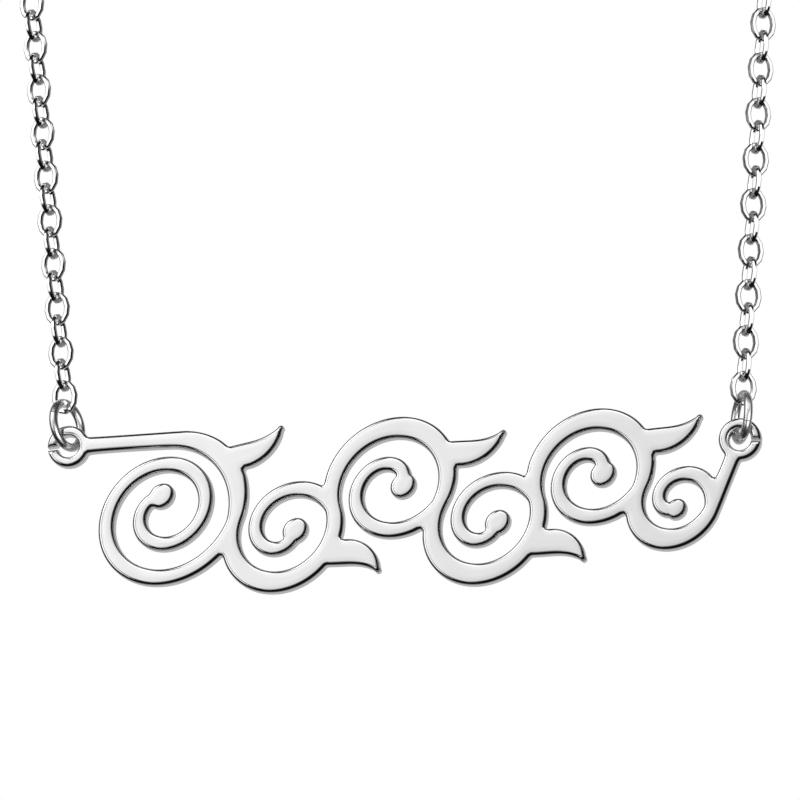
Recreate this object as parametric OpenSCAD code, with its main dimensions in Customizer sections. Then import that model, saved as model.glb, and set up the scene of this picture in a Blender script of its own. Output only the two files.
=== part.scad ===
// Necklace with a cut-out scroll plate on a flat cable chain, in millimetres.
// +Z is up, the front faces -Y, and the origin is at the nape, in the middle of the clasp.

/* [Plate] */
// Thickness of the plate's sheet
plate_thick = 1; // [0.7:0.1:1.4]
// Distance between the middles of the two eyelets
eyelet_span = 46.7; // [44:0.1:52]
// Height of the left eyelet over the plate's middle
left_eyelet_rise = 4.75; // [3.5:0.05:5.5]
// Height of the right eyelet over the plate's middle
right_eyelet_rise = 3.45; // [2.5:0.05:5]
// Width of the metal round an eyelet's bore
eyelet_rim = 0.7; // [0.5:0.05:1.1]
// Width of the cut through the left eyelet's outer end
left_cut = 0.22; // [0.1:0.02:0.4]
// Width of the cut through the right eyelet's outer end
right_cut = 0.1; // [0.06:0.02:0.4]
// Angle of both cuts below level, in degrees
cut_droop = 6; // [0:1:20]

/* [Scroll work] */
// Width of the stem where it passes from one curl to the next
stem_width = 1.15; // [0.9:0.05:1.25]
// Extra width of the stem half way round a curl
stem_swell = 0.35; // [0:0.05:0.6]
// Width of a curl near its inner end
curl_width = 0.95; // [0.7:0.05:1.2]
// Diameter of the ball at the inner end of a large curl
ball_size = 1.75; // [1.2:0.05:2]
// Width of a leaf
leaf_width = 1.35; // [0.8:0.05:1.8]
// Diameter of a leaf's rounded tip
leaf_tip = 0.4; // [0.2:0.05:0.6]
// Sideways lean of the scroll work for each millimetre of height
slant = 0.16; // [0:0.02:0.24]
// Radius in the inner corners where strokes part
crotch_radius = 0.15; // [0.05:0.01:0.18]

/* [Jump rings] */
// Outer diameter of the rings at the plate
ring_outer = 3.76; // [3.3:0.02:4.6]
// Wire diameter of the rings at the plate
ring_wire = 0.6; // [0.5:0.02:0.74]
// Outer diameter of the rings at the clasp
end_ring_outer = 3.2; // [2.9:0.1:4]
// Wire diameter of the rings at the clasp
end_ring_wire = 0.5; // [0.4:0.02:0.6]

/* [Chain] */
// Length of a link
link_length = 2.46; // [2.2:0.02:3]
// Width of a link
link_width = 1.94; // [1.6:0.02:2.4]
// Width of a link's metal along its sides
link_side = 0.38; // [0.3:0.02:0.42]
// Width of a link's metal at its ends
link_end = 0.33; // [0.28:0.01:0.38]
// Thickness of a link
link_thick = 0.32; // [0.24:0.02:0.38]
// Turn of every link about the chain's run, from flat on the neck, in degrees
link_turn = 7; // [-12:1:12]
// Room between pieces that pass through each other
clearance = 0.12; // [0.1:0.01:0.16]

/* [Route] */
// Diameter of the round that the chain follows about the neck
neck_diameter = 115; // [100:1:130]
// Height of the nape over the plate's middle
drop = 81; // [74:1:95]
// Outward lean of the left chain above the plate, in degrees
left_lean = 6.6; // [0:0.2:12]
// Outward lean of the right chain above the plate, in degrees
right_lean = 3.8; // [0:0.2:12]
// Radius of the bend where the chain turns back round the neck
shoulder_radius = 30; // [15:1:40]
// Upward slope of the chain behind the bend, in degrees
nape_slope = 8; // [4:1:12]

/* [Clasp] */
// Outer diameter of the clasp's hoop
clasp_outer = 6; // [5:0.1:8]
// Thickness of the clasp's hoop
clasp_wire = 1.1; // [0.9:0.05:1.4]
// Thickness of the clasp's lug
lug_thick = 0.8; // [0.6:0.05:0.9]
// Width of the metal round the lug's bore
lug_rim = 0.6; // [0.5:0.05:0.9]

/* [Hidden] */
LEFT = -1;
RIGHT = 1;

// One row for each curl of the scroll work, from left to right. RADIUS and RISE of a curl's middle
// are shares of eyelet_span, SWEEP is its turning in degrees and PACE how soon it tightens.
RADIUS = 0;
RISE = 1;
SWEEP = 2;
PACE = 3;
CURLS = [
  [0.109, -0.003, 600, 1.05],
  [0.077, -0.037, 335, 1.55],
  [0.085, 0.026, 345, 1.5],
  [0.078, -0.035, 330, 1.6],
  [0.081, 0.031, 345, 1.5],
  [0.058, -0.013, 300, 1.5]
];
last_curl = len(CURLS) - 1;
inner_share = 0.24;
ball_share = 0.52;
leaf_length = 0.107 * eyelet_span;
leaf_back = 62;
leaf_lift = 14;
leaf_bend = 95;
leaf_stalk = 0.64;
tip_share = 0.975;
arc_step = 9;
round_fn = 48;
small_fn = 28;

neck_radius = neck_diameter / 2;
ring_radius = (ring_outer - ring_wire) / 2;
end_ring_radius = (end_ring_outer - end_ring_wire) / 2;
half_link = link_thick / 2;
hole_length = link_length - 2 * link_end;
hole_radius = link_width / 2 - link_side;

// A jump ring stands square to the neck, so it crosses the flat plate at this angle
plate_turn = asin(eyelet_span / 2 / neck_radius);
plate_y = -neck_radius * (1 + cos(plate_turn));

// Bore that a ring of round wire passes at an angle through sheet of a given thickness. The ring's
// plane leans from the line that the sheet is turned about, and its inner side is the steepest.
function bore_for(radius, wire, sheet, angle, lean) = let (
    aside = sheet / 2 * tan(angle),
    along = sheet / 2 / cos(angle),
    sag = radius - sqrt(radius * radius - along * along),
    strayed = norm([aside + sag * sin(lean), sag * cos(lean)]),
    steepest = asin(along / (radius - wire / 2))
  )
  2 * (strayed + (wire / 2 + clearance) / cos(angle) / cos(steepest));

eyelet_bore = bore_for(ring_radius, ring_wire, plate_thick, plate_turn, max(left_lean, right_lean));
eyelet_outer = eyelet_bore + 2 * eyelet_rim;
lug_crossing = (clasp_outer / 2 + end_ring_outer) / neck_radius * 180 / PI;
lug_bore = bore_for(end_ring_radius, end_ring_wire, lug_thick, lug_crossing, 90 - nape_slope);
lug_outer = lug_bore + 2 * lug_rim;
lug_offset = (clasp_outer + lug_bore) / 2 + clearance;
lug_turn = lug_offset / neck_radius * 180 / PI;

// From the middle of a ring to the middle of the link that hangs in it
function ring_to_link(outer, wire) = let (reach = half_link + wire / 2 * sin(abs(link_turn)))
  sqrt(pow(outer / 2 - wire, 2) - reach * reach) + hole_length / 2 - clearance;

// From one link's middle to the next, where each passes through the other
link_pitch = hole_length - 2 * hole_radius + 2 * sqrt(hole_radius * hole_radius - half_link * half_link)
  - clearance;

// The route of each chain, laid out flat: x runs round the neck from the front, y is the height
function lean(side) = side == LEFT ? left_lean : right_lean;
function eyelet_rise(side) = side == LEFT ? left_eyelet_rise : right_eyelet_rise;
function steep(side) = 90 - lean(side);
function route_start(side) = [neck_radius * plate_turn * PI / 180, eyelet_rise(side) - drop];
function route_end(side) = [neck_radius * PI - (side == LEFT ? lug_offset : 0), 0];
function bend_run(side) = shoulder_radius
  * [sin(steep(side)) - sin(nape_slope), cos(nape_slope) - cos(steep(side))];
function straight_run(side) = route_end(side) - route_start(side) - bend_run(side);
function riser(side) = let (run = straight_run(side))
  (run.y * cos(nape_slope) - run.x * sin(nape_slope)) / sin(steep(side) - nape_slope);
function bend_length(side) = shoulder_radius * (steep(side) - nape_slope) * PI / 180;
function back_length(side) = let (run = straight_run(side))
  (run.x * sin(steep(side)) - run.y * cos(steep(side))) / sin(steep(side) - nape_slope);
function route_length(side) = riser(side) + bend_length(side) + back_length(side);
function toward(slope) = [cos(slope), sin(slope)];

// Slope and place on the route at a distance from the eyelet
function slope_at(side, s) = let (t = s - riser(side))
  t < 0 ? steep(side)
  : t < bend_length(side) ? steep(side) - t / shoulder_radius * 180 / PI
  : nape_slope;
function place_at(side, s) = let (
    t = s - riser(side),
    foot = route_start(side) + min(s, riser(side)) * toward(steep(side)),
    slope = slope_at(side, s)
  )
  t < 0 ? foot
  : foot + shoulder_radius * [sin(steep(side)) - sin(slope), cos(slope) - cos(steep(side))]
    + max(0, t - bend_length(side)) * toward(nape_slope);

first_link_at = ring_radius + ring_to_link(ring_outer, ring_wire);
function end_ring_back(side) = side == LEFT
  ? end_ring_radius
  : end_ring_outer / 2 - end_ring_wire + clasp_outer / 2 - clasp_wire - clearance;
function end_ring_at(side) = route_length(side) - end_ring_back(side);
function last_link_at(side) = end_ring_at(side) - ring_to_link(end_ring_outer, end_ring_wire);
// An even number of gaps stands both end links square to the rings
function link_gaps(side) = 2 * ceil((last_link_at(side) - first_link_at) / link_pitch / 2);

// Puts a piece on the route, with X along it and Y toward the neck
module on_route(side, s) {
  place = place_at(side, s);
  turned = side * place.x / neck_radius * 180 / PI;
  translate([neck_radius * sin(turned), -neck_radius * (1 + cos(turned)), place.y])
    rotate([0, 0, turned])
      rotate([0, -side * slope_at(side, s), 0])
        children();
}

// Scroll work
function curl_radius(k) = CURLS[k][RADIUS] * eyelet_span;
function curl_rise(k) = CURLS[k][RISE] * eyelet_span;
// Curls touch one another, and the stem turns the other way at each
function curl_run(k) = k == 0 ? 0
  : curl_run(k - 1)
    + sqrt(pow(curl_radius(k) + curl_radius(k - 1), 2) - pow(curl_rise(k) - curl_rise(k - 1), 2));
first_curl_x = (eyelet_outer - eyelet_span + stem_width / 2) / 2 + curl_radius(0);
function curl_middle(k) = [first_curl_x + curl_run(k), curl_rise(k)];
function spin(k) = k % 2 == 0 ? -1 : 1;
function heading(from, to) = atan2(to.y - from.y, to.x - from.x);
function polar(middle, angle, radius) = middle + radius * [cos(angle), sin(angle)];
function eyelet_middle(side) = [side * eyelet_span / 2, eyelet_rise(side)];
// Where an eyelet stands before the scroll work is slanted
function eyelet_before_slant(side) = eyelet_middle(side) - [slant * eyelet_rise(side), 0];
// Direction from a curl's middle to where a straight stroke from an eyelet touches it
function touch_angle(k, side, way) = let (
    eyelet = eyelet_before_slant(side),
    middle = curl_middle(k)
  )
  heading(middle, eyelet) + way * acos(curl_radius(k) / norm(eyelet - middle));
function enter_angle(k) = k == 0 ? touch_angle(0, LEFT, -1) : heading(curl_middle(k), curl_middle(k - 1));
function leave_angle(k) = k == last_curl
  ? touch_angle(last_curl, RIGHT, -spin(last_curl))
  : heading(curl_middle(k), curl_middle(k + 1));
function stem_turn(k) = let (turn = spin(k) * (leave_angle(k) - enter_angle(k)))
  turn - 360 * floor(turn / 360);
function shares(angle) = let (count = ceil(angle / arc_step)) [for (i = [0:count]) i / count];

// Flat stroke along points, with a width at each and the direction across it
module stroke(points, across, widths) {
  last = len(points) - 1;
  polygon([
    for (i = [0:last]) points[i] + widths[i] / 2 * across[i],
    for (i = [last:-1:0]) points[i] - widths[i] / 2 * across[i]
  ]);
}

// Stroke round a middle, given by angles and radii
module round_stroke(middle, angles, radii, widths) {
  count = len(angles) - 1;
  stroke(
    [for (i = [0:count]) polar(middle, angles[i], radii[i])],
    [for (i = [0:count]) [cos(angles[i]), sin(angles[i])]],
    widths
  );
}

module stem(k) {
  ts = shares(stem_turn(k));
  round_stroke(
    curl_middle(k),
    [for (t = ts) enter_angle(k) + spin(k) * stem_turn(k) * t],
    [for (t = ts) curl_radius(k)],
    [for (t = ts) stem_width + stem_swell * sin(180 * t)]
  );
}

module curl(k) {
  sweep = CURLS[k][SWEEP];
  inner = inner_share * curl_radius(k);
  ts = shares(sweep);
  round_stroke(
    curl_middle(k),
    [for (t = ts) leave_angle(k) + spin(k) * sweep * t],
    [for (t = ts) inner + (curl_radius(k) - inner) * pow(1 - t, CURLS[k][PACE])],
    [for (t = ts) stem_width + (curl_width - stem_width) * t]
  );
  translate(polar(curl_middle(k), leave_angle(k) + spin(k) * sweep, inner))
    circle(d = min(ball_size, ball_share * curl_radius(k)), $fn = small_fn);
}

// Leaf that grows from the stem just before it leaves a curl, and bends away from it
module leaf(k) {
  root_angle = leave_angle(k) - spin(k) * leaf_back;
  root = polar(curl_middle(k), root_angle, curl_radius(k));
  start = root_angle + spin(k) * (90 - leaf_lift);
  bend = -spin(k) * leaf_bend;
  radius = leaf_length * 180 / PI / bend;
  function aim(t) = start + bend * t;
  function spine(t) = root + radius * [sin(aim(t)) - sin(start), cos(start) - cos(aim(t))];
  ts = shares(leaf_bend);
  stroke(
    [for (t = ts) spine(t)],
    [for (t = ts) [-sin(aim(t)), cos(aim(t))]],
    [for (t = ts) leaf_width * pow(sin(180 * pow(t, 0.8)), 0.9) + leaf_stalk * (1 - t) + leaf_tip * t / 2]
  );
  translate(spine(tip_share))
    circle(d = leaf_tip, $fn = small_fn);
}

// Straight stroke from an eyelet to the stem
module arm(side, k, angle) {
  from = eyelet_before_slant(side);
  to = polar(curl_middle(k), angle, curl_radius(k));
  translate(from)
    rotate(heading(from, to))
      translate([0, -stem_width / 2])
        square([norm(to - from), stem_width]);
}

module scroll_outline() {
  multmatrix([[1, slant, 0, 0], [0, 1, 0, 0], [0, 0, 1, 0], [0, 0, 0, 1]]) {
    for (k = [0:last_curl]) {
      stem(k);
      curl(k);
    }
    for (k = [0:last_curl - 1]) leaf(k);
    arm(LEFT, 0, enter_angle(0));
    arm(RIGHT, last_curl, leave_angle(last_curl));
  }
  for (side = [LEFT, RIGHT])
    translate(eyelet_middle(side))
      circle(d = eyelet_outer, $fn = round_fn);
}

// Bore of an eyelet and the cut from it through the outer end
module eyelet_opening(side, cut) {
  translate(eyelet_middle(side)) {
    circle(d = eyelet_bore, $fn = round_fn);
    rotate(side == LEFT ? 180 + cut_droop : -cut_droop)
      translate([0, -cut / 2])
        square([eyelet_outer, cut]);
  }
}

module scroll_plate() {
  color("silver")
    translate([0, plate_y, -drop])
      rotate([90, 0, 0])
        linear_extrude(plate_thick, center = true)
          difference() {
            offset(r = -crotch_radius, $fn = 16)
              offset(delta = crotch_radius, chamfer = true)
                scroll_outline();
            eyelet_opening(LEFT, left_cut);
            eyelet_opening(RIGHT, right_cut);
          }
}

// Ring of round wire that stands square to the neck
module wire_ring(outer, wire) {
  rotate_extrude($fn = round_fn)
    translate([(outer - wire) / 2, 0])
      circle(d = wire, $fn = small_fn);
}

module jump_ring(side) {
  color("lightgray")
    on_route(side, ring_radius)
      wire_ring(ring_outer, ring_wire);
}

module end_ring(side) {
  color("lightgray")
    on_route(side, end_ring_at(side))
      wire_ring(end_ring_outer, end_ring_wire);
}

module rounded_slot(length, width) {
  for (end = [-1, 1])
    translate([end * (length - width) / 2, 0])
      circle(d = width, $fn = round_fn);
  square([length - width, width], center = true);
}

// Flat link with its length along X, lying in the XY plane
module link() {
  linear_extrude(link_thick, center = true)
    difference() {
      rounded_slot(link_length, link_width);
      rounded_slot(hole_length, 2 * hole_radius);
    }
}

module chain(side) {
  gaps = link_gaps(side);
  pitch = (last_link_at(side) - first_link_at) / gaps;
  color("gainsboro")
    for (i = [0:gaps])
      on_route(side, first_link_at + i * pitch)
        rotate([(i % 2 == 0 ? 90 : 0) + side * link_turn, 0, 0])
          link();
}

// Ring clasp: a round hoop with a flat lug, in one piece
module clasp() {
  color("silver")
    translate([0, -neck_radius * (1 - cos(lug_turn)), 0])
      rotate([90, 0, 0])
        difference() {
          union() {
            rotate_extrude($fn = round_fn)
              translate([(clasp_outer - clasp_wire) / 2, 0])
                circle(d = clasp_wire, $fn = small_fn);
            translate([-lug_offset, 0, 0])
              cylinder(d = lug_outer, h = lug_thick, center = true, $fn = round_fn);
          }
          translate([-lug_offset, 0, 0])
            cylinder(d = lug_bore, h = 2 * clasp_wire, center = true, $fn = round_fn);
        }
}

scroll_plate();
jump_ring(LEFT);  // jump_ring_left
jump_ring(RIGHT);  // jump_ring_right
chain(LEFT);  // chain_left
chain(RIGHT);  // chain_right
end_ring(LEFT);  // end_ring_left
end_ring(RIGHT);  // end_ring_right
clasp();
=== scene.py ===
"""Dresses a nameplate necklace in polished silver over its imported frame.

The pieces take their places and sizes from the frame's nodes. Lengths are in metres.
"""

import logging
import math
from dataclasses import dataclass
from enum import Enum

import bmesh
import bpy
import numpy as np
from mathutils import Matrix, Vector
from mathutils.geometry import delaunay_2d_cdt
from mathutils.kdtree import KDTree


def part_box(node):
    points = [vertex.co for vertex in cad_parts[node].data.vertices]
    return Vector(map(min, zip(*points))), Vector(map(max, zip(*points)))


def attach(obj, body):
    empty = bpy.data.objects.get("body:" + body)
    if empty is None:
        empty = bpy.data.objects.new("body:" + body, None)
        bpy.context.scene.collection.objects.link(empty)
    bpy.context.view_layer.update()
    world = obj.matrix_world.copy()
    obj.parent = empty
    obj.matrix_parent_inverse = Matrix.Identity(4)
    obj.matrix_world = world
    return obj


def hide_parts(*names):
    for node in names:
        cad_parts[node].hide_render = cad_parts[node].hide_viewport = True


MM = 0.001
BODY = "root"
PLATE_NODE = "scroll_plate"
TURN = "turn"
SECTION_CORNERS = 8
MERGE_DISTANCE = 0.0005 * MM
CREASE = math.radians(50.0)
WHITE = (1.0, 1.0, 1.0, 1.0)

log = logging.getLogger("necklace")
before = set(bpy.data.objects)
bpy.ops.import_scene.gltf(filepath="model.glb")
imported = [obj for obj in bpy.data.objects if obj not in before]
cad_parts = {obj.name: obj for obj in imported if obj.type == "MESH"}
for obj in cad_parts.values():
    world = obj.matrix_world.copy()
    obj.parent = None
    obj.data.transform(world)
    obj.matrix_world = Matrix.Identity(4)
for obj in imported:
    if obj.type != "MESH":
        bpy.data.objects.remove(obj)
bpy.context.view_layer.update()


class Slot(Enum):
    """Material slots of the record that the pieces take their finish from."""

    PLATE = "plate"
    RINGS = "rings"
    CHAIN = "chain"
    CLASP = "clasp"


# Reading the frame


@dataclass(frozen=True)
class Solid:
    """One solid of a node: its middle, its long, wide and thin axes, and its size along them."""

    middle: np.ndarray
    axes: np.ndarray
    size: np.ndarray

    def upright(self) -> "Solid":
        """Turns the long axis to point as far up as the solid's plane lets it.

        Returns:
            The same solid with its axes turned.
        """
        thin = self.axes[2]
        up = np.array([0.0, 0.0, 1.0]) - thin[2] * thin
        up /= np.linalg.norm(up)
        return Solid(self.middle, np.array([up, np.cross(thin, up), thin]), self.size)


def merged_copy(node: str) -> bmesh.types.BMesh:
    """Copies a node's mesh with its doubled corners merged.

    Args:
        node: Name of the node in the frame.

    Returns:
        The copy, which the caller frees.
    """
    mesh = bmesh.new()
    mesh.from_mesh(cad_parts[node].data)
    bmesh.ops.remove_doubles(mesh, verts=mesh.verts, dist=MERGE_DISTANCE)
    return mesh


def solids_of(node: str) -> list[Solid]:
    """Finds where each loose solid of a node stands.

    Args:
        node: Name of the node in the frame.

    Returns:
        One entry for each solid, from its corners' main directions.
    """
    mesh = merged_copy(node)
    reached = set()
    found = []
    for start in mesh.verts:
        if start in reached:
            continue
        reached.add(start)
        front = [start]
        corners = []
        while front:
            vert = front.pop()
            corners.append(vert.co[:])
            for edge in vert.link_edges:
                other = edge.other_vert(vert)
                if other not in reached:
                    reached.add(other)
                    front.append(other)
        found.append(solid_from(np.array(corners)))
    mesh.free()
    return found


def solid_from(corners: np.ndarray) -> Solid:
    """Measures a solid along the main directions of its corners.

    Args:
        corners: Places of its corners, one a row.

    Returns:
        The solid's place and size.
    """
    middle = (corners.max(0) + corners.min(0)) / 2
    _, axes = np.linalg.eigh(np.cov((corners - corners.mean(0)).T))
    axes = axes.T[::-1]
    axes[1] = np.cross(axes[2], axes[0])
    along = (corners - middle) @ axes.T
    middle = middle + (along.max(0) + along.min(0)) / 2 @ axes
    return Solid(middle, axes, along.max(0) - along.min(0))


# Trees of nodes


class Tree:
    """Builds a tree of nodes, for a shape, a finish or the world."""

    def __init__(self, tree: bpy.types.NodeTree) -> None:
        """Starts on an emptied tree.

        Args:
            tree: The tree to fill.
        """
        self.tree = tree
        tree.nodes.clear()

    def add(self, kind: str, inputs: dict | None = None, **settings: object) -> bpy.types.Node:
        """Adds a node.

        Args:
            kind: The node's type name.
            inputs: Values or sockets for its inputs, by name or number.
            **settings: Settings of the node itself.

        Returns:
            The new node.
        """
        node = self.tree.nodes.new(kind)
        for name, value in settings.items():
            setattr(node, name, value)
        for name, value in (inputs or {}).items():
            if isinstance(value, bpy.types.NodeSocket):
                self.tree.links.new(value, node.inputs[name])
            else:
                node.inputs[name].default_value = value
        return node

    def math(self, operation: str, *values: object) -> bpy.types.NodeSocket:
        """Adds a sum of one or more values.

        Args:
            operation: Name of the operation.
            *values: Numbers or sockets.

        Returns:
            The socket of its result.
        """
        node = self.add("ShaderNodeMath", dict(enumerate(values)), operation=operation)
        return node.outputs[0]

    def faded(
        self, angle: bpy.types.NodeSocket, inner: float, outer: float, tone: float
    ) -> bpy.types.NodeSocket:
        """Adds a value that fades softly to nothing as an angle grows.

        Args:
            angle: The angle, in radians.
            inner: The angle up to which the value holds, in degrees.
            outer: The angle from which it is nothing, in degrees.
            tone: The value.

        Returns:
            The value at the angle.
        """
        return self.add(
            "ShaderNodeMapRange",
            {
                "Value": angle,
                "From Min": math.radians(inner),
                "From Max": math.radians(outer),
                "To Min": tone,
                "To Max": 0.0,
            },
            interpolation_type="SMOOTHSTEP",
        ).outputs[0]


class ShapeTree(Tree):
    """A Geometry Nodes tree that puts one shape at each point of a mesh."""

    def __init__(self, name: str, sizes: dict[str, float | int]) -> None:
        """Starts a tree with a named input for each size.

        Args:
            name: The tree's name.
            sizes: Each size's name and value.
        """
        group = bpy.data.node_groups.new(name, "GeometryNodeTree")
        super().__init__(group)
        face = group.interface
        face.new_socket("Points", in_out="INPUT", socket_type="NodeSocketGeometry")
        self.sizes = sizes
        self.names = {}
        for label, value in sizes.items():
            kind = "NodeSocketInt" if isinstance(value, int) else "NodeSocketFloat"
            socket = face.new_socket(label, in_out="INPUT", socket_type=kind)
            self.names[label] = socket.identifier
        socket = face.new_socket("Finish", in_out="INPUT", socket_type="NodeSocketMaterial")
        self.names["Finish"] = socket.identifier
        face.new_socket("Shape", in_out="OUTPUT", socket_type="NodeSocketGeometry")
        self.start = self.add("NodeGroupInput")

    def size(self, label: str) -> bpy.types.NodeSocket:
        """The socket of a named size."""
        return self.start.outputs[label]

    def spread(
        self, shape: bpy.types.NodeSocket, turn: bpy.types.NodeSocket, sharp: bpy.types.NodeSocket
    ) -> None:
        """Shades a shape, puts it at every point and ends the tree.

        Args:
            shape: The shape at its own origin.
            turn: The rotation at each point.
            sharp: Which of its edges stay sharp.
        """
        smooth = self.add("GeometryNodeSetShadeSmooth", {"Geometry": shape, "Shade Smooth": True})
        shaded = self.add(
            "GeometryNodeSetShadeSmooth",
            {"Geometry": smooth.outputs[0], "Selection": sharp, "Shade Smooth": False},
            domain="EDGE",
        )
        placed = self.add(
            "GeometryNodeInstanceOnPoints",
            {
                "Points": self.start.outputs["Points"],
                "Instance": shaded.outputs[0],
                "Rotation": turn,
            },
        )
        real = self.add("GeometryNodeRealizeInstances", {"Geometry": placed.outputs[0]})
        dressed = self.add(
            "GeometryNodeSetMaterial",
            {"Geometry": real.outputs[0], "Material": self.start.outputs["Finish"]},
        )
        self.add("NodeGroupOutput", {"Shape": dressed.outputs[0]})

    def stored_turn(self) -> bpy.types.NodeSocket:
        """The rotation kept at each point."""
        return self.add(
            "GeometryNodeInputNamedAttribute", {"Name": TURN}, data_type="QUATERNION"
        ).outputs[0]

    def make(
        self, name: str, solids: list[Solid], finish: bpy.types.Material
    ) -> bpy.types.Object:
        """Runs the tree over the solids' places and keeps the result as a plain mesh.

        Args:
            name: The piece's name.
            solids: The places, one for each copy.
            finish: The material of the piece.

        Returns:
            The finished piece, at the origin.
        """
        points = bpy.data.meshes.new(name + "_points")
        points.from_pydata([tuple(s.middle) for s in solids], [], [])
        turns = [Matrix(s.axes.tolist()).transposed().to_quaternion() for s in solids]
        points.attributes.new(TURN, "QUATERNION", "POINT").data.foreach_set(
            "value", [part for turn in turns for part in turn]
        )
        holder = bpy.data.objects.new(name + "_points", points)
        bpy.context.scene.collection.objects.link(holder)
        modifier = holder.modifiers.new("shape", "NODES")
        modifier.node_group = self.tree
        for label, value in self.sizes.items():
            modifier[self.names[label]] = value
        modifier[self.names["Finish"]] = finish
        seen = bpy.context.evaluated_depsgraph_get()
        mesh = bpy.data.meshes.new_from_object(holder.evaluated_get(seen), depsgraph=seen)
        holder.modifiers.clear()
        bpy.data.objects.remove(holder)
        return shown(name, mesh)


def shown(name: str, mesh: bpy.types.Mesh) -> bpy.types.Object:
    """Puts a mesh in the scene as an object at the origin.

    Args:
        name: The object's name.
        mesh: Its mesh, with its place in it.

    Returns:
        The object.
    """
    mesh.name = name
    piece = bpy.data.objects.new(name, mesh)
    bpy.context.scene.collection.objects.link(piece)
    return piece


def stand_for(piece: bpy.types.Object, node: str) -> bpy.types.Object:
    """Makes a piece ride on the body in place of a node.

    Args:
        piece: The finished piece.
        node: The node that it replaces.

    Returns:
        The piece.
    """
    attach(piece, BODY)
    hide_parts(node)
    log.info("%s stands for %s, %d faces", piece.name, node, len(piece.data.polygons))
    return piece


# Finishes


@dataclass(frozen=True)
class Silver:
    """Polished silver with a soft ripple from the buffing wheel, fine hairlines, uneven gloss."""

    name: str
    tint: tuple[float, float, float] = (0.94, 0.94, 0.95)
    shade: tuple[float, float, float] = (0.86, 0.86, 0.87)
    roughness: float = 0.1
    uneven: float = 0.05
    cloud_size: float = 2.5 * MM
    cloud_detail: float = 3.0
    cloud_low: float = 0.3
    cloud_high: float = 0.7
    ripple_size: float = 1.6 * MM
    ripple_detail: float = 1.0
    ripple_height: float = 0.0006 * MM
    hairline_size: float = 0.05 * MM
    hairline_detail: float = 2.0
    hairline_stretch: float = 14.0
    hairline_angle: float = math.radians(24.0)
    hairline_height: float = 0.0001 * MM

    def build(self) -> bpy.types.Material:
        """Makes the material.

        Returns:
            The material, patterned on Object coordinates.
        """
        material = bpy.data.materials.new(self.name)
        material.use_nodes = True
        tree = Tree(material.node_tree)
        place = tree.add("ShaderNodeTexCoord").outputs["Object"]
        cloud = self.noise(tree, place, self.cloud_size, self.cloud_detail)
        gloss = tree.add(
            "ShaderNodeMapRange",
            {
                "Value": cloud,
                "From Min": self.cloud_low,
                "From Max": self.cloud_high,
                "To Min": self.roughness - self.uneven / 2,
                "To Max": self.roughness + self.uneven / 2,
            },
        )
        colour = tree.add("ShaderNodeMix", {"Factor": cloud}, data_type="RGBA")
        colour.inputs["A"].default_value = (*self.tint, 1.0)
        colour.inputs["B"].default_value = (*self.shade, 1.0)
        drawn = tree.add(
            "ShaderNodeMapping",
            {"Vector": place, "Rotation": (0.0, self.hairline_angle, 0.0)},
        )
        drawn.inputs["Scale"].default_value = (1.0, 1.0, 1.0 / self.hairline_stretch)
        hairlines = self.noise(
            tree, drawn.outputs[0], self.hairline_size, self.hairline_detail
        )
        ripple = self.noise(tree, place, self.ripple_size, self.ripple_detail)
        fine = tree.add(
            "ShaderNodeBump",
            {"Strength": 1.0, "Distance": self.hairline_height, "Height": hairlines},
        )
        broad = tree.add(
            "ShaderNodeBump",
            {"Strength": 1.0, "Distance": self.ripple_height, "Height": ripple},
        )
        tree.tree.links.new(fine.outputs[0], broad.inputs["Normal"])
        metal = tree.add(
            "ShaderNodeBsdfPrincipled",
            {
                "Base Color": colour.outputs["Result"],
                "Metallic": 1.0,
                "Roughness": gloss.outputs[0],
                "Normal": broad.outputs[0],
            },
        )
        tree.add("ShaderNodeOutputMaterial", {"Surface": metal.outputs[0]})
        return material

    def noise(
        self, tree: Tree, place: bpy.types.NodeSocket, size: float, detail: float
    ) -> bpy.types.NodeSocket:
        """Adds a noise whose features are of a given size.

        Args:
            tree: The tree to add it to.
            place: The coordinates that it reads.
            size: About how large one feature is.
            detail: How many finer layers it has.

        Returns:
            Its value.
        """
        return tree.add(
            "ShaderNodeTexNoise", {"Vector": place, "Scale": 1.0 / size, "Detail": detail}
        ).outputs[0]


@dataclass(frozen=True)
class Paper:
    """Pale matt paper under the object, with a faint tooth."""

    name: str
    colour: tuple[float, float, float] = (0.9, 0.9, 0.9)
    roughness: float = 0.9
    tooth: float = 3.0 * MM
    tooth_height: float = 0.1 * MM
    tooth_strength: float = 0.2

    def build(self) -> bpy.types.Material:
        """Makes the material.

        Returns:
            The material, patterned on Object coordinates.
        """
        material = bpy.data.materials.new(self.name)
        material.use_nodes = True
        tree = Tree(material.node_tree)
        place = tree.add("ShaderNodeTexCoord").outputs["Object"]
        grain = tree.add("ShaderNodeTexNoise", {"Vector": place, "Scale": 1.0 / self.tooth})
        bump = tree.add(
            "ShaderNodeBump",
            {
                "Strength": self.tooth_strength,
                "Distance": self.tooth_height,
                "Height": grain.outputs[0],
            },
        )
        matt = tree.add(
            "ShaderNodeBsdfPrincipled",
            {
                "Base Color": (*self.colour, 1.0),
                "Roughness": self.roughness,
                "Normal": bump.outputs[0],
            },
        )
        tree.add("ShaderNodeOutputMaterial", {"Surface": matt.outputs[0]})
        return material


# The plate


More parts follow.
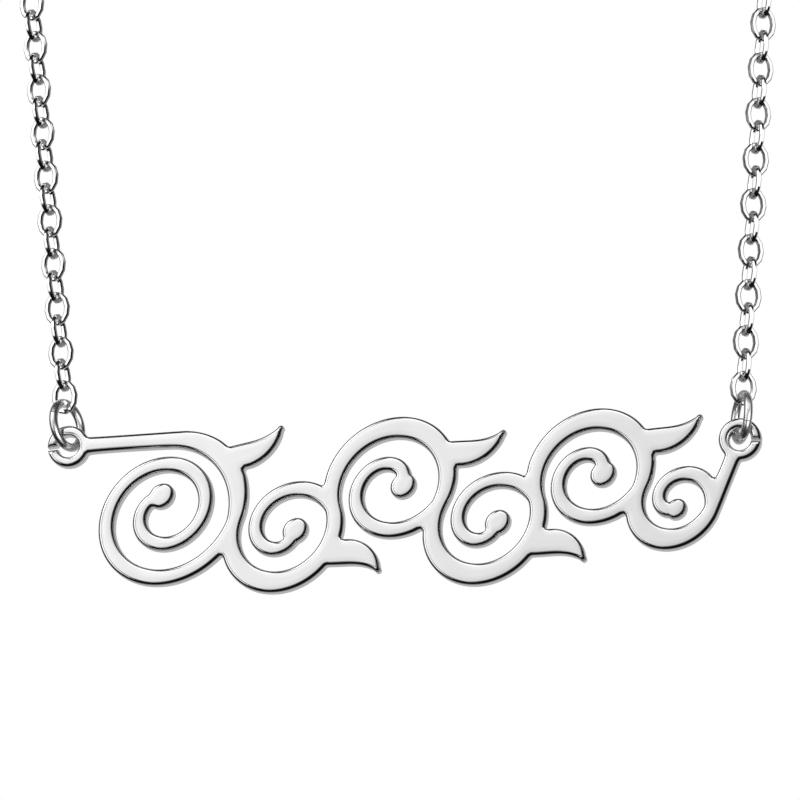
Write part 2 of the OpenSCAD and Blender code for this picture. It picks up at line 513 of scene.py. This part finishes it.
@dataclass
class ScrollPlate:
    """The cut-out plate, with edges rounded over and faces that fall away softly towards them.

    Attributes:
        facing: The least part of a face's normal that points to the front, for a front face.
        spacing: The distance between points along the edge.
        least_step: Points of the outline that stand closer than this are one point.
        least_gap: The least distance that is left between points of a smooth run.
        corner: The least turn of the outline that stays sharp.
        curve_steps: Steps of the smooth curve between two points of the outline.
        edge_radius: The radius of the rounded edges at the front.
        back_radius: The radius of the rounded edges at the back.
        edge_steps: Rows of points over a rounded edge.
        shoulder: How far inside the edge the face begins to fall.
        shoulder_fall: How far it falls.
        shoulder_steps: Rows of points over the fall.
        row_share: The share of its distance from the edge that a point of a row has to keep.
        field: The distance between points over the rest of the face.
        cells: How many cells, of one point each, go into the spacing.
        batch: How many points are tested at once.
        tolerance: The least distance between two points for the filling, in millimetres.
    """

    node: str = PLATE_NODE
    facing: float = 0.9
    spacing: float = 0.16 * MM
    least_step: float = 0.005 * MM
    least_gap: float = 0.05 * MM
    corner: float = math.radians(30.0)
    curve_steps: int = 8
    edge_radius: float = 0.25 * MM
    back_radius: float = 0.1 * MM
    edge_steps: int = 4
    shoulder: float = 0.6 * MM
    shoulder_fall: float = 0.02 * MM
    shoulder_steps: int = 4
    row_share: float = 0.97
    field: float = 0.28 * MM
    cells: int = 40
    batch: int = 2000
    tolerance: float = 1e-6

    def build(self, finish: bpy.types.Material) -> bpy.types.Object:
        """Builds the plate.

        Args:
            finish: Its material.

        Returns:
            The finished plate.
        """
        low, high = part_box(self.node)
        loops = [self.smoothed(loop) for loop in self.front_loops()]
        rim = np.concatenate(loops)
        nexts = self.following(loops)
        places, triangles = self.triangulated(rim, nexts)
        inward = places - self.feet(places, rim, nexts)
        depth = np.linalg.norm(inward, axis=1)
        inward[: len(rim)] = self.inward(rim, nexts)
        inward[len(rim) :] /= depth[len(rim) :, None]
        front, front_ways = self.side(places, depth, inward, low.y, 1.0, self.edge_radius)
        back, back_ways = self.side(places, depth, inward, high.y, -1.0, self.back_radius)
        count = len(places)
        faces = [tuple(t) for t in triangles]
        faces += [(c + count, b + count, a + count) for a, b, c in triangles]
        faces += [(i, i + count, j + count, j) for i, j in enumerate(nexts)]
        mesh = bpy.data.meshes.new(self.node)
        mesh.from_pydata([tuple(p) for p in np.concatenate([front, back])], [], faces)
        mesh.materials.append(finish)
        mesh.shade_smooth()
        mesh.normals_split_custom_set_from_vertices(np.concatenate([front_ways, back_ways]))
        return stand_for(shown("scroll_plate_polished", mesh), self.node)

    def side(
        self,
        places: np.ndarray,
        depth: np.ndarray,
        inward: np.ndarray,
        level: float,
        into: float,
        radius: float,
    ) -> tuple[np.ndarray, np.ndarray]:
        """Shapes the front or the back over the points.

        Args:
            places: The points, across and up.
            depth: How far each lies inside the edge.
            inward: The way from the edge to each.
            level: Where the flat of this side lies.
            into: 1 if the metal lies behind this side, or -1 if it lies before it.
            radius: The radius that rounds its edges over.

        Returns:
            The points in space, and the way that the surface faces at each.
        """
        near = np.clip(radius - depth, 0.0, radius)
        eased = np.clip(1.0 - depth / self.shoulder, 0.0, 1.0)
        fall = radius - np.sqrt(radius**2 - near**2) + self.shoulder_fall * eased**2
        lean = np.arcsin(near / radius)
        slope = 2.0 * self.shoulder_fall / self.shoulder * eased
        lean = np.minimum(lean + np.arctan(slope), math.pi / 2)
        surface = np.column_stack([places[:, 0], level + into * fall, places[:, 1]])
        ways = np.column_stack(
            [-inward[:, 0] * np.sin(lean), -into * np.cos(lean), -inward[:, 1] * np.sin(lean)]
        )
        return surface, ways

    def front_loops(self) -> list[np.ndarray]:
        """Reads the outlines of the node's front, but not the slivers between its triangles.

        Returns:
            Each closed outline as points across and up, with the metal on its left.
        """
        mesh = merged_copy(self.node)
        ahead = {}
        for face in mesh.faces:
            if face.normal.y > -self.facing:
                continue
            for corner in face.loops:
                beside = corner.link_loop_radial_next.face
                if beside.normal.y > -self.facing:
                    ahead[corner.vert] = corner.link_loop_next.vert
        loops = []
        while ahead:
            start, vert = ahead.popitem()
            points = [start]
            while vert is not start:
                points.append(vert)
                vert = ahead.pop(vert)
            loops.append(np.array([(p.co.x, p.co.z) for p in points]))
        mesh.free()
        return [loop for loop in loops if np.ptp(loop, axis=0).max() > self.spacing]

    def smoothed(self, loop: np.ndarray) -> np.ndarray:
        """Draws a smooth curve through an outline's points, sharp only where it turns a corner.

        Args:
            loop: The outline's points.

        Returns:
            Evenly spaced points on the curve.
        """
        step = np.roll(loop, -1, 0) - loop
        loop = loop[np.linalg.norm(step, axis=1) > self.least_step]
        step = np.roll(loop, -1, 0) - loop
        heading = np.arctan2(step[:, 1], step[:, 0])
        turn = np.abs((heading - np.roll(heading, 1) + math.pi) % (2 * math.pi) - math.pi)
        corners = np.flatnonzero(turn > self.corner)
        if not len(corners):
            corners = np.array([0])
        drawn = []
        for first, last in zip(corners, np.roll(corners, -1)):
            size = (last - first - 1) % len(loop) + 2
            run = loop[(first + np.arange(size)) % len(loop)]
            drawn.append(self.evened(self.curve(self.thinned(run)))[:-1])
        return np.concatenate(drawn)

    def thinned(self, run: np.ndarray) -> np.ndarray:
        """Leaves out points that stand too close together, apart from the ends of a run.

        Args:
            run: The points.

        Returns:
            The points that are kept.
        """
        kept = [run[0]]
        for point in run[1:-1]:
            clear = min(np.linalg.norm(point - kept[-1]), np.linalg.norm(point - run[-1]))
            if clear > self.least_gap:
                kept.append(point)
        return np.array([*kept, run[-1]])

    def curve(self, run: np.ndarray) -> np.ndarray:
        """Passes a smooth curve through a run of points.

        Args:
            run: The points, whose ends are corners.

        Returns:
            Close points on the curve.
        """
        if len(run) < 3:
            return run
        fine = np.linspace(0.0, 1.0, self.curve_steps, endpoint=False)[:, None]
        padded = np.vstack([2 * run[0] - run[1], run, 2 * run[-1] - run[-2]])
        drawn = []
        for a, b, c, d in zip(padded, padded[1:], padded[2:], padded[3:]):
            spans = [math.sqrt(np.linalg.norm(q - p)) for p, q in ((a, b), (b, c), (c, d))]
            leave = spans[1] * ((b - a) / spans[0] - (c - a) / (spans[0] + spans[1])) + c - b
            reach = spans[1] * ((d - c) / spans[2] - (d - b) / (spans[1] + spans[2])) + c - b
            drawn.append(
                (2 * fine**3 - 3 * fine**2 + 1) * b
                + (fine**3 - 2 * fine**2 + fine) * leave
                + (3 * fine**2 - 2 * fine**3) * c
                + (fine**3 - fine**2) * reach
            )
        return np.vstack([*drawn, run[-1:]])

    def evened(self, run: np.ndarray) -> np.ndarray:
        """Spaces a run's points evenly along it.

        Args:
            run: Close points on a curve.

        Returns:
            Points on the curve at one spacing.
        """
        steps = np.linalg.norm(np.diff(run, axis=0), axis=1)
        along = np.concatenate([[0.0], np.cumsum(steps)])
        marks = np.linspace(0.0, along[-1], max(2, round(along[-1] / self.spacing) + 1))
        return np.column_stack([np.interp(marks, along, run[:, i]) for i in range(2)])

    def following(self, loops: list[np.ndarray]) -> np.ndarray:
        """Numbers the points that follow each point of the joined outlines.

        Args:
            loops: The outlines' points.

        Returns:
            The number of the following point, for each point.
        """
        starts = np.cumsum([0, *(len(loop) for loop in loops)])
        return np.concatenate(
            [np.roll(np.arange(a, b), -1) for a, b in zip(starts, starts[1:])]
        )

    def insets(self) -> list[float]:
        """Spaces the rows of points over the rounded edge and the fall.

        Returns:
            Each row's distance from the edge.
        """
        turns = [math.pi / 2 * k / self.edge_steps for k in range(1, self.edge_steps + 1)]
        rounded = [self.edge_radius * (1 - math.cos(t)) for t in turns]
        width = (self.shoulder - self.edge_radius) / self.shoulder_steps
        falling = [self.edge_radius + width * k for k in range(1, self.shoulder_steps + 1)]
        return rounded + falling

    def inward(self, rim: np.ndarray, nexts: np.ndarray) -> np.ndarray:
        """Finds the way into the metal at each point of the outlines.

        Args:
            rim: The outlines' points.
            nexts: The number of the point that follows each.

        Returns:
            A direction for each, of length 1.
        """
        before = np.empty(len(rim), int)
        before[nexts] = np.arange(len(rim))
        along = rim[nexts] - rim[before]
        inward = np.column_stack([-along[:, 1], along[:, 0]])
        return inward / np.linalg.norm(inward, axis=1)[:, None]

    def triangulated(self, rim: np.ndarray, nexts: np.ndarray) -> tuple[np.ndarray, np.ndarray]:
        """Fills the outline with triangles, in rows along its edge and evenly over the rest.

        Args:
            rim: The outlines' points.
            nexts: The number of the point that follows each.

        Returns:
            All points, those of the rim first, and the triangles.
        """
        inward = self.inward(rim, nexts)
        added = []
        for inset in self.insets():
            row = rim + inset * inward
            added.append(row[self.distances(row, rim, nexts) > self.row_share * inset])
        grid = self.grid(rim.min(0), rim.max(0))
        grid = grid[self.inside(grid, rim, nexts)]
        added.append(grid[self.distances(grid, rim, nexts) > self.shoulder + self.field / 3])
        places = np.concatenate([rim, self.apart(np.concatenate(added))])
        edges = [(i, int(j)) for i, j in enumerate(nexts)]
        points, _, triangles, *_ = delaunay_2d_cdt(
            [Vector(p / MM) for p in places], edges, [], 1, self.tolerance
        )
        if len(points) != len(places):
            raise ValueError(f"{len(places)} points of the plate became {len(points)}")
        triangles = np.array(triangles)
        centres = places[triangles].mean(1)
        return places, triangles[self.inside(centres, rim, nexts)]

    def grid(self, low: np.ndarray, high: np.ndarray) -> np.ndarray:
        """Lays points over a box in rows, each set off by half a step from the last.

        Args:
            low: The box's lower corner.
            high: Its upper corner.

        Returns:
            The points.
        """
        rows = np.arange(low[1], high[1], self.field * math.sqrt(0.75))
        columns = np.arange(low[0], high[0], self.field)
        half = self.field / 2
        return np.array([(x + (k % 2) * half, z) for k, z in enumerate(rows) for x in columns])

    def apart(self, points: np.ndarray) -> np.ndarray:
        """Leaves out points that nearly stand on an earlier one.

        Args:
            points: The points.

        Returns:
            The points that are kept.
        """
        cells = np.round(points / (self.spacing / self.cells)).astype(int)
        _, first = np.unique(cells, axis=0, return_index=True)
        return points[np.sort(first)]

    def inside(self, points: np.ndarray, rim: np.ndarray, nexts: np.ndarray) -> np.ndarray:
        """Finds which points lie inside the outlines.

        Args:
            points: The points to test.
            rim: The outlines' points.
            nexts: The number of the point that follows each.

        Returns:
            True for each point in the metal.
        """
        a, b = rim, rim[nexts]
        slope = (b[:, 0] - a[:, 0]) / np.where(b[:, 1] == a[:, 1], 1.0, b[:, 1] - a[:, 1])
        hits = []
        for part in np.array_split(points, 1 + len(points) // self.batch):
            x, z = part[:, :1], part[:, 1:]
            spans = (a[:, 1] > z) != (b[:, 1] > z)
            left = x < a[:, 0] + (z - a[:, 1]) * slope
            hits.append((spans & left).sum(1) % 2 == 1)
        return np.concatenate(hits)

    def distances(self, points: np.ndarray, rim: np.ndarray, nexts: np.ndarray) -> np.ndarray:
        """Measures how far points lie from the nearest stretch of the outlines.

        Args:
            points: The points.
            rim: The outlines' points.
            nexts: The number of the point that follows each.

        Returns:
            A distance for each.
        """
        return np.linalg.norm(points - self.feet(points, rim, nexts), axis=1)

    def feet(self, points: np.ndarray, rim: np.ndarray, nexts: np.ndarray) -> np.ndarray:
        """Finds the place on the outlines that is nearest to each point.

        Args:
            points: The points.
            rim: The outlines' points.
            nexts: The number of the point that follows each.

        Returns:
            A place for each.
        """
        near = KDTree(len(rim))
        for i, (x, z) in enumerate(rim):
            near.insert((x, z, 0.0), i)
        near.balance()
        nearest = np.array([near.find((x, z, 0.0))[1] for x, z in points])
        before = np.empty(len(rim), int)
        before[nexts] = np.arange(len(rim))
        found = []
        for start in (nearest, before[nearest]):
            a, b = rim[start], rim[nexts[start]]
            span = b - a
            share = ((points - a) * span).sum(1) / (span * span).sum(1)
            found.append(a + np.clip(share, 0.0, 1.0)[:, None] * span)
        first, second = (np.linalg.norm(points - foot, axis=1) for foot in found)
        return np.where((first < second)[:, None], *found)


# Rings, chains and clasp


@dataclass
class WireRing:
    """A ring bent from round wire, whose ends meet at a fine saw cut."""

    node: str
    cut_at: float
    cut: float = 0.03 * MM
    steps_round: int = 96
    steps_across: int = 20

    def build(self, finish: bpy.types.Material) -> bpy.types.Object:
        """Builds the ring.

        Args:
            finish: Its material.

        Returns:
            The finished ring.
        """
        solid = solids_of(self.node)[0].upright()
        wire = float(solid.size[2])
        radius = float(solid.size[0] - wire) / 2
        tree = ShapeTree(
            "wire_ring",
            {
                "Ring Radius": radius,
                "Wire Radius": wire / 2,
                "Cut At": self.cut_at,
                "Cut Width": self.cut,
                "Steps Round": self.steps_round,
                "Steps Across": self.steps_across,
            },
        )
        open_part = tree.math("DIVIDE", tree.size("Cut Width"), tree.size("Ring Radius"))
        bend = tree.add(
            "GeometryNodeCurveArc",
            {
                "Resolution": tree.size("Steps Round"),
                "Radius": tree.size("Ring Radius"),
                "Start Angle": tree.size("Cut At"),
                "Sweep Angle": tree.math("SUBTRACT", 2 * math.pi, open_part),
            },
            mode="RADIUS",
        )
        section = tree.add(
            "GeometryNodeCurvePrimitiveCircle",
            {"Resolution": tree.size("Steps Across"), "Radius": tree.size("Wire Radius")},
            mode="RADIUS",
        )
        swept = tree.add(
            "GeometryNodeCurveToMesh",
            {"Curve": bend.outputs[0], "Profile Curve": section.outputs[0], "Fill Caps": True},
        )
        angle = tree.add("GeometryNodeInputMeshEdgeAngle").outputs[0]
        sharp = tree.math("GREATER_THAN", angle, CREASE)
        tree.spread(swept.outputs[0], tree.stored_turn(), sharp)
        piece = tree.make(self.node + "_wire", [solid], finish)
        return stand_for(piece, self.node)


@dataclass
class CableChain:
    """A chain of flat oval links with their edges taken off, each a little turned."""

    node: str
    seed: int
    side_share: float = 0.38 / 1.94
    end_share: float = 0.33 / 0.38
    edge_across: float = 0.095 * MM
    edge_deep: float = 0.082 * MM
    steps_round: int = 12
    roll: float = math.radians(2.5)

    def build(self, finish: bpy.types.Material) -> bpy.types.Object:
        """Builds the chain.

        Args:
            finish: Its material.

        Returns:
            The finished chain.
        """
        solids = solids_of(self.node)
        length, width, thickness = (float(v) for v in np.median([s.size for s in solids], axis=0))
        side = width * self.side_share
        tree = ShapeTree(
            self.node + "_links",
            {
                "Link Length": length,
                "Link Width": width,
                "Side Width": side,
                "End Width": side * self.end_share,
                "Thickness": thickness,
                "Edge Across": self.edge_across,
                "Edge Deep": self.edge_deep,
                "Roll": self.roll,
                "Seed": self.seed,
                "Steps Round": self.steps_round,
            },
        )
        tree.spread(self.link(tree), self.rolled(tree), self.ridges(tree))
        piece = tree.make(self.node + "_links", solids, finish)
        log.info("%s has %d links", self.node, len(solids))
        return stand_for(piece, self.node)

    def section(self, tree: ShapeTree) -> bpy.types.NodeSocket:
        """Adds the metal's outline: a rectangle whose corners are cut more from its sides.

        Args:
            tree: The tree to add it to.

        Returns:
            The outline as a curve.
        """
        steep = tree.math("DIVIDE", tree.size("Edge Deep"), tree.size("Edge Across"))
        oblong = tree.add(
            "GeometryNodeCurvePrimitiveQuadrilateral",
            {
                "Width": tree.size("Side Width"),
                "Height": tree.math("DIVIDE", tree.size("Thickness"), steep),
            },
        )
        cut = tree.add(
            "GeometryNodeFilletCurve",
            {"Curve": oblong.outputs[0], "Count": 1, "Radius": tree.size("Edge Across")},
            mode="POLY",
        )
        scale = tree.add("ShaderNodeCombineXYZ", {"X": 1.0, "Y": steep, "Z": 1.0})
        return tree.add(
            "GeometryNodeTransform", {"Geometry": cut.outputs[0], "Scale": scale.outputs[0]}
        ).outputs[0]

    def link(self, tree: ShapeTree) -> bpy.types.NodeSocket:
        """Adds one link: a section swept round a circle, which is then drawn out to an oval.

        Args:
            tree: The tree to add it to.

        Returns:
            The link's mesh, lying flat with its length across.
        """
        circle = tree.add(
            "GeometryNodeCurvePrimitiveCircle",
            {"Resolution": tree.size("Steps Round"), "Radius": tree.size("Link Length")},
            mode="RADIUS",
        )
        swept = tree.add(
            "GeometryNodeCurveToMesh",
            {"Curve": circle.outputs[0], "Profile Curve": self.section(tree)},
        )
        across, up, out = tree.add(
            "ShaderNodeSeparateXYZ", {0: tree.add("GeometryNodeInputPosition").outputs[0]}
        ).outputs
        radius = tree.math(
            "SQRT", tree.math("ADD", tree.math("POWER", across, 2.0), tree.math("POWER", up, 2.0))
        )
        beside = tree.math("SUBTRACT", radius, tree.size("Link Length"))
        narrowed = tree.math("MULTIPLY", beside, self.end_share)
        moved = tree.add(
            "ShaderNodeCombineXYZ",
            {
                "X": self.drawn(tree, across, radius, "Link Length", "End Width", narrowed),
                "Y": self.drawn(tree, up, radius, "Link Width", "Side Width", beside),
                "Z": out,
            },
        )
        return tree.add(
            "GeometryNodeSetPosition",
            {"Geometry": swept.outputs[0], "Position": moved.outputs[0]},
        ).outputs[0]

    def drawn(
        self,
        tree: ShapeTree,
        place: bpy.types.NodeSocket,
        radius: bpy.types.NodeSocket,
        reach: str,
        metal: str,
        beside: bpy.types.NodeSocket,
    ) -> bpy.types.NodeSocket:
        """Draws the circle out to half an oval's reach along one axis.

        Args:
            tree: The tree to add it to.
            place: A point's place along the axis.
            radius: Its distance from the circle's middle.
            reach: Name of the oval's outer size along the axis.
            metal: Name of the metal's width there.
            beside: How far the point stands outside the middle of the metal.

        Returns:
            The point's new place along the axis.
        """
        half = tree.math("DIVIDE", tree.math("SUBTRACT", tree.size(reach), tree.size(metal)), 2.0)
        stretch = tree.math("DIVIDE", tree.math("ADD", half, beside), radius)
        return tree.math("MULTIPLY", place, stretch)

    def ridges(self, tree: ShapeTree) -> bpy.types.NodeSocket:
        """Selects the edges that run round a link, where its faces, walls and cut edges meet.

        Args:
            tree: The tree to add it to.

        Returns:
            True for each such edge, whose two ends are the same corner of the section.
        """
        ends = tree.add("GeometryNodeInputMeshEdgeVertices").outputs
        apart = tree.math("ABSOLUTE", tree.math("SUBTRACT", ends[0], ends[1]))
        return tree.math("LESS_THAN", tree.math("MODULO", apart, SECTION_CORNERS), 0.5)

    def rolled(self, tree: ShapeTree) -> bpy.types.NodeSocket:
        """Adds a small random turn of each link about its length.

        Args:
            tree: The tree to add it to.

        Returns:
            The rotation at each point.
        """
        chance = tree.add(
            "FunctionNodeRandomValue",
            {
                "Min": tree.math("MULTIPLY", tree.size("Roll"), -1.0),
                "Max": tree.size("Roll"),
                "Seed": tree.size("Seed"),
            },
            data_type="FLOAT",
        )
        value = next(o for o in chance.outputs if o.enabled)
        about = tree.add("ShaderNodeCombineXYZ", {"X": value})
        by = tree.add("FunctionNodeEulerToRotation", {0: about.outputs[0]})
        return tree.add(
            "FunctionNodeRotateRotation",
            {"Rotation": tree.stored_turn(), "Rotate By": by.outputs[0]},
            rotation_space="LOCAL",
        ).outputs[0]


@dataclass
class RingClasp:
    """The hoop and lug at the nape, with the lug's edges taken off."""

    node: str = "clasp"
    edge: float = 0.12 * MM
    edge_steps: int = 3
    edge_profile: float = 0.5

    def build(self, finish: bpy.types.Material) -> bpy.types.Object:
        """Builds the clasp.

        Args:
            finish: Its material.

        Returns:
            The finished clasp.
        """
        copy = merged_copy(self.node)
        sharp = [e for e in copy.edges if e.is_manifold and e.calc_face_angle() > CREASE]
        bmesh.ops.bevel(
            copy,
            geom=sharp,
            offset=self.edge,
            segments=self.edge_steps,
            affect="EDGES",
            profile=self.edge_profile,
            clamp_overlap=True,
        )
        mesh = bpy.data.meshes.new(self.node)
        copy.to_mesh(mesh)
        copy.free()
        mesh.materials.append(finish)
        mesh.shade_smooth()
        mesh.set_sharp_from_angle(angle=CREASE)
        return stand_for(shown("clasp_polished", mesh), self.node)


# The studio


def toward(azimuth: float, elevation: float) -> Vector:
    """Points in a direction.

    Args:
        azimuth: The direction's angle from the front, counted to the right, in degrees.
        elevation: Its angle above the level, in degrees.

    Returns:
        The direction, of length 1.
    """
    across, up = math.radians(azimuth), math.radians(elevation)
    level = math.cos(up)
    return Vector((math.sin(across) * level, -math.cos(across) * level, math.sin(up)))


def plate_middle() -> Vector:
    """The middle of the plate's box."""
    low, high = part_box(PLATE_NODE)
    return (low + high) / 2


@dataclass
class ProductCamera:
    """A long lens a little below and to the right of the plate, as in the photograph."""

    azimuth: float = 10.0
    elevation: float = -13.0
    distance: float = 0.5
    frame_width: float = 54.9 * MM
    sensor: float = 36.0
    plate_left_of_middle: float = 0.14 * MM
    middle_over_plate: float = 7.1 * MM

    def build(self) -> bpy.types.Object:
        """Makes the camera and sets it as the scene's.

        Returns:
            The camera.
        """
        shift = Vector((-self.plate_left_of_middle, 0.0, self.middle_over_plate))
        aim = plate_middle() + shift
        back = toward(self.azimuth, self.elevation)
        data = bpy.data.cameras.new("camera")
        data.sensor_width = self.sensor
        data.lens = self.sensor * self.distance / self.frame_width
        camera = bpy.data.objects.new("camera", data)
        camera.location = aim + back * self.distance
        camera.rotation_mode = "QUATERNION"
        camera.rotation_quaternion = (-back).to_track_quat("-Z", "Y")
        bpy.context.scene.collection.objects.link(camera)
        bpy.context.scene.camera = camera
        log.info("camera %.2f m away, lens %.0f mm", self.distance, data.lens)
        return camera


@dataclass(frozen=True)
class Patch:
    """A round patch of the tent, with a soft rim. Angles are in degrees."""

    azimuth: float
    elevation: float
    inner: float
    outer: float
    tone: float

    def add(self, tree: Tree, way: bpy.types.NodeSocket) -> bpy.types.NodeSocket:
        """Adds what the patch gives in each direction.

        Args:
            tree: The world's tree.
            way: The direction that is looked in.

        Returns:
            The patch's tone inside it, which fades to nothing over its rim.
        """
        along = tree.add(
            "ShaderNodeVectorMath",
            {0: way, 1: toward(self.azimuth, self.elevation)},
            operation="DOT_PRODUCT",
        ).outputs["Value"]
        return tree.faded(tree.math("ARCCOSINE", along), self.inner, self.outer, self.tone)


@dataclass(frozen=True)
class Flag:
    """An upright black strip hung in the tent, with soft sides. Angles are in degrees."""

    azimuth: float
    inner: float
    outer: float
    tone: float

    def add(self, tree: Tree, way: bpy.types.NodeSocket) -> bpy.types.NodeSocket:
        """Adds the share of the tent that the strip covers in each direction.

        Args:
            tree: The world's tree.
            way: The direction that is looked in.

        Returns:
            The strip's share inside it, which fades to nothing over its sides.
        """
        across = tree.add(
            "ShaderNodeVectorMath",
            {0: way, 1: toward(self.azimuth + 90.0, 0.0)},
            operation="DOT_PRODUCT",
        ).outputs["Value"]
        angle = tree.math("ARCSINE", tree.math("ABSOLUTE", across))
        return tree.faded(angle, self.inner, self.outer, self.tone)


@dataclass(frozen=True)
class SoftLight:
    """An oblong soft light that faces the plate. Its power is in watts."""

    name: str
    place: tuple[float, float, float]
    width: float
    height: float
    power: float

    def build(self, lit: list[bpy.types.Object] | None = None) -> bpy.types.Object:
        """Makes the light.

        Args:
            lit: The only pieces that it reaches, or None if it reaches all.

        Returns:
            The light.
        """
        data = bpy.data.lights.new(self.name, "AREA")
        data.shape = "RECTANGLE"
        data.size = self.width
        data.size_y = self.height
        data.energy = self.power
        lamp = bpy.data.objects.new(self.name, data)
        lamp.location = self.place
        lamp.rotation_mode = "QUATERNION"
        lamp.rotation_quaternion = (plate_middle() - lamp.location).to_track_quat("-Z", "Y")
        lamp.visible_camera = False
        bpy.context.scene.collection.objects.link(lamp)
        if lit:
            reach = bpy.data.collections.new(self.name + "_reach")
            for piece in lit:
                reach.objects.link(piece)
            lamp.light_linking.receiver_collection = reach
        return lamp


@dataclass
class Studio:
    """A white tent with a dim opening by the lens, a black strip, dark sides and a grey back.

    The accent is a tall light at the right and the fill a broad one before the opening.
    """

    front: Patch = Patch(-20.0, 18.0, 45.0, 52.0, 1.26)
    opening: Patch = Patch(36.0, -22.0, 33.5, 70.0, 0.95)
    flag: Flag = Flag(-24.5, 5.5, 8.0, 0.95)
    behind: tuple[Patch, ...] = (
        Patch(180.0, 0.0, 66.0, 74.0, 0.2),
        Patch(180.0, 0.0, 32.0, 43.0, 0.28),
    )
    side_tone: float = 0.004
    backdrop_tone: float = 1.0
    key_light: SoftLight = SoftLight("key_light", (-0.45, -0.55, 0.35), 0.35, 0.35, 0.6)
    accent_light: SoftLight = SoftLight("accent_light", (0.43, -0.38, 0.06), 0.2, 0.8, 0.6)
    fill_light: SoftLight = SoftLight("fill_light", (0.35, -0.56, -0.3), 0.6, 0.6, 1.8)
    floor_height: float = -0.7
    floor_side: float = 12.0

    def build(self) -> None:
        """Builds the world, the light that reaches all pieces and the floor."""
        self.world()
        self.key_light.build()
        self.floor()
        bpy.context.scene.view_settings.view_transform = "Standard"

    def world(self) -> None:
        """Makes the world: plain white where it is seen, and the tent where metal mirrors it."""
        world = bpy.data.worlds.new("studio")
        bpy.context.scene.world = world
        world.use_nodes = True
        tree = Tree(world.node_tree)
        way = tree.add("ShaderNodeTexCoord").outputs["Generated"]
        tone = self.front.add(tree, way)
        for cover in (self.opening, self.flag):
            left = tree.math("SUBTRACT", 1.0, cover.add(tree, way))
            tone = tree.math("MULTIPLY", tone, left)
        tone = tree.math("ADD", tone, self.side_tone)
        for patch in self.behind:
            tone = tree.math("ADD", patch.add(tree, way), tone)
        tent = tree.add("ShaderNodeBackground", {"Color": WHITE, "Strength": tone})
        plain = tree.add(
            "ShaderNodeBackground", {"Color": WHITE, "Strength": self.backdrop_tone}
        )
        mirrored = tree.add("ShaderNodeLightPath").outputs["Is Glossy Ray"]
        both = tree.add(
            "ShaderNodeMixShader", {0: mirrored, 1: plain.outputs[0], 2: tent.outputs[0]}
        )
        tree.add("ShaderNodeOutputWorld", {"Surface": both.outputs[0]})

    def floor(self) -> None:
        """Lays the pale floor well under the hanging necklace."""
        half = self.floor_side / 2
        square = ((-half, -half), (half, -half), (half, half), (-half, half))
        corners = [(x, y, self.floor_height) for x, y in square]
        mesh = bpy.data.meshes.new("floor")
        mesh.from_pydata(corners, [], [(0, 1, 2, 3)])
        mesh.materials.append(Paper("pale_paper").build())
        sheet = shown("floor", mesh)
        sheet.visible_glossy = False


def main() -> None:
    """Builds the studio and every piece of the necklace."""
    logging.basicConfig(level=logging.INFO, format="%(name)s: %(message)s")
    ProductCamera().build()
    studio = Studio()
    studio.build()
    plate_silver = Silver("plate_silver").build()
    ring_silver = Silver("ring_silver", roughness=0.3).build()
    chain_silver = Silver("chain_silver", roughness=0.14).build()
    ScrollPlate().build(plate_silver)
    left_ring = WireRing("jump_ring_left", math.radians(70.0)).build(ring_silver)
    right_ring = WireRing("jump_ring_right", math.radians(110.0)).build(ring_silver)
    CableChain("chain_left", seed=3).build(chain_silver)
    right_chain = CableChain("chain_right", seed=8).build(chain_silver)
    studio.accent_light.build([right_ring, right_chain])
    studio.fill_light.build([left_ring, right_ring])
    WireRing("end_ring_left", math.radians(200.0)).build(ring_silver)
    WireRing("end_ring_right", math.radians(160.0)).build(ring_silver)
    RingClasp().build(ring_silver)


if __name__ == "__main__":
    main()
